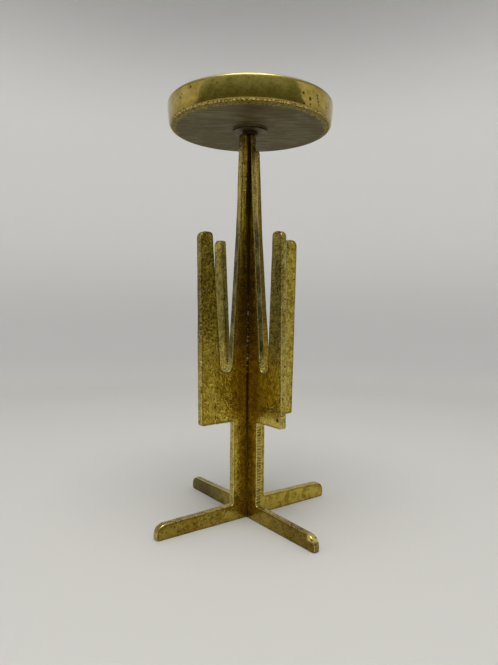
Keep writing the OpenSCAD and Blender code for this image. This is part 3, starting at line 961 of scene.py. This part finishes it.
# Colours of the dish. A pair is the two ends of a tint that clouds, speckles or streaks mix.
dish_gold = ((0.31, 0.225, 0.032, 1), (0.48, 0.37, 0.09, 1))
mottle_gold = (0.58, 0.46, 0.13, 1)
rim_tan = (0.34, 0.29, 0.1, 1)
heel_gold = ((0.16, 0.11, 0.016, 1), (0.72, 0.58, 0.2, 1))
ring_gold = ((0.08, 0.058, 0.007, 1), (0.4, 0.3, 0.04, 1))
low_brown = (0.3, 0.2, 0.03, 1)
flaw_brown = (0.09, 0.06, 0.012, 1)
ground_grey = ((0.08, 0.066, 0.027, 1), (0.205, 0.175, 0.08, 1))
ground_brown = (0.105, 0.077, 0.02, 1)
polished_roughness, ground_roughness = 0.12, 0.58

# Heights over the dish's underside, read as on the cast plates
ground_up = (0.12 * mm, 0.02 * mm)
ring_up = (0.4 * mm, 0.1 * mm)
heel_up = (1.6 * mm, 0.9 * mm)
rim_up = (12.6 * mm, 13.8 * mm)
flaw_belt = (0.5 * mm, 1 * mm, 0.4 * mm)
low_belt = (1.6 * mm, 3.2 * mm, 1.5 * mm)

# How far across the patterns are, and how high the side's skin and the belt's streaks stand
cloud_size = 6 * mm
speckle_size = 0.9 * mm
flaw_size = 1.2 * mm
ragged_size, ragged_reach = 2.2 * mm, 5 * mm
streak_size, streak_stretch = 1.2 * mm, 14
ground_stain_size = 16 * mm
side_relief, streak_relief = 0.06 * mm, 0.03 * mm

dish_finish, tree, output = new_material("dish_brass")
place, axes = own_place(tree)
height = math_node(tree, "SUBTRACT", axes["Z"], dish_z)
flat = put(tree, "ShaderNodeCombineXYZ", {"X": axes["X"], "Y": axes["Y"]}).outputs["Vector"]
skin = put(tree, "ShaderNodeGroup", {
    "Vector": place, "Worms": 0.5, "Pit Share": 0.4, "Fine Pits": 0.0}, node_tree=casting_skin)

# Side: clouded gold, matt at the rim, speckled at the heel, with a ring of cast skin under it
clouds = ramp(tree, noise(tree, place, cloud_size, 5.0, 0.6), 0.35, 0.65)
rim_mask = ramp(tree, height, *rim_up)
heel_mask = ramp(tree, height, *heel_up)
ring_mask = ramp(tree, height, *ring_up)
speckle = ramp(tree, noise(tree, place, speckle_size, 2.0, 0.5), 0.45, 0.57)
gold = stained(tree, mixed(tree, clouds, *dish_gold), mottle_gold, 0.4, skin.outputs["Mottle"])
gold = mixed(tree, rim_mask, gold, rim_tan)
heel_tint = mixed(tree, ring_mask, mixed(tree, speckle, *heel_gold), mixed(tree, speckle, *ring_gold))
side_tint = mixed(tree, heel_mask, gold, heel_tint)
side_tint = stained(tree, side_tint, low_brown, 0.45, band(tree, height, *low_belt))

# Pits: small ones along the heel, the larger ones one by one, and those of the cast skin
flaws = product(tree, band(tree, height, *flaw_belt),
                ramp(tree, noise(tree, place, flaw_size, 2.0, 0.6), 0.58, 0.66), 0.6)
for x, y, z, reach in dish_flaws.tolist():
    flaw = ramp(tree, distance_to(tree, place, (x, y, z)), reach, 0.45 * reach)
    flaws = math_node(tree, "MAXIMUM", flaws, flaw)
pits = math_node(tree, "MAXIMUM", flaws, product(tree, skin.outputs["Pits"], 0.8))
side_tint = mixed(tree, pits, side_tint, flaw_brown)

# Underside: grey, streaked by the belt, with brown clouds and a ragged edge
belt_way = put(tree, "ShaderNodeMapping", {
    "Vector": place, "Rotation": (0, 0, -stand_turn), "Scale": (streak_stretch, 1, 1)}, vector_type="TEXTURE")
streaks = noise(tree, belt_way.outputs["Vector"], streak_size, 4.0, 0.6)
stains = ramp(tree, noise(tree, place, ground_stain_size, 4.0, 0.6), 0.45, 0.6, 0, 0.6)
under_tint = mixed(tree, ramp(tree, streaks, 0.36, 0.64), *ground_grey)
under_tint = mixed(tree, stains, under_tint, ground_brown)
ragged = product(tree, noise(tree, place, ragged_size, 3.0, 0.6), ragged_reach)
away = math_node(tree, "ADD", distance_to(tree, flat, ground_middle), ragged)
ground = product(tree, ramp(tree, height, *ground_up), ramp(tree, away, *ground_edge_r))
tint = mixed(tree, ground, side_tint, under_tint)

relief = math_node(tree, "SUBTRACT", skin.outputs["Height"], flaws)
relief = math_node(tree, "ADD", relief, product(tree, heel_mask, speckle, 1.5))
normal = bumped(tree, relief, side_relief, 0.55)
normal = bumped(tree, streaks, streak_relief, 0.3, Normal=normal)
matt = math_node(tree, "MAXIMUM", ground, product(tree, rim_mask, 0.5), product(tree, ring_mask, 0.75))
set_metal(tree, output, tint, ramp(tree, matt, 0, 1, polished_roughness, ground_roughness), normal)
dish.data.materials.append(dish_finish)
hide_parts("dish")
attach(dish, "root")


# Pricket and stud
# A turned brass spike on a flange that is let into the dish's floor, and the threaded rod that draws the
# dish, washer and collar down on the column. Only the spike shows, from above.
pricket_z = dish_z + seat_z
pricket_len = 21 * mm
pricket_root_r = 3.4 * mm
pricket_tip_r = 0.6 * mm
pricket_cove_r = 1.4 * mm
pricket_hole_depth = 6 * mm
pricket_steps = 96
pricket_step = 0.5 * mm
pricket_top_z = pricket_flange_h + pricket_len
pricket_cove_end = -174
pricket_tip_start = 8
rod_gold = (0.6, 0.46, 0.18, 1)
rod_brown = (0.36, 0.25, 0.09, 1)
lathe_step = 0.35 * mm
tarnish_size = 3 * mm
rod_relief = 0.04 * mm

pricket_section = np.vstack([
    [[stud_bore_r, 0]],
    arc(pricket_flange_r - ring_bevel, ring_bevel, ring_bevel, -90, 0, ring_bevel / 3),
    arc(pricket_flange_r - ring_bevel, pricket_flange_h - ring_bevel, ring_bevel, 0, 90, ring_bevel / 3),
    arc(pricket_root_r + pricket_cove_r, pricket_flange_h + pricket_cove_r, pricket_cove_r,
        -90, pricket_cove_end, pricket_step / 2),
    arc(0, pricket_top_z - pricket_tip_r, pricket_tip_r, pricket_tip_start, 90, pricket_tip_r / 5),
    [[0, pricket_hole_depth], [stud_bore_r, pricket_hole_depth]],
])
pricket_section = spaced(pricket_section, pricket_step)
pricket_section = np.vstack([pricket_section, pricket_section[:1]]) + [0, pricket_z]
pricket = new_piece("pricket_spike", *turned(pricket_section, pricket_steps))

rod_finish, tree, output = new_material("rod_brass")
place, _ = own_place(tree)
lathe = put(tree, "ShaderNodeMapping", {"Vector": place, "Scale": (0.02, 0.02, 1)})
marks = noise(tree, lathe.outputs["Vector"], lathe_step, 3.0, 0.6)
tarnish = ramp(tree, noise(tree, place, tarnish_size, 4.0, 0.6), 0.4, 0.7)
tint = mixed(tree, tarnish, rod_gold, rod_brown)
normal = bumped(tree, marks, rod_relief, 0.4)
set_metal(tree, output, tint, ramp(tree, tarnish, 0, 1, 0.25, 0.42), normal)
pricket.data.materials.append(rod_finish)
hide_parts("pricket")
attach(pricket, "root")
stud_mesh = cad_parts["centre_stud"].data
stud_mesh.materials.clear()
stud_mesh.materials.append(rod_finish)
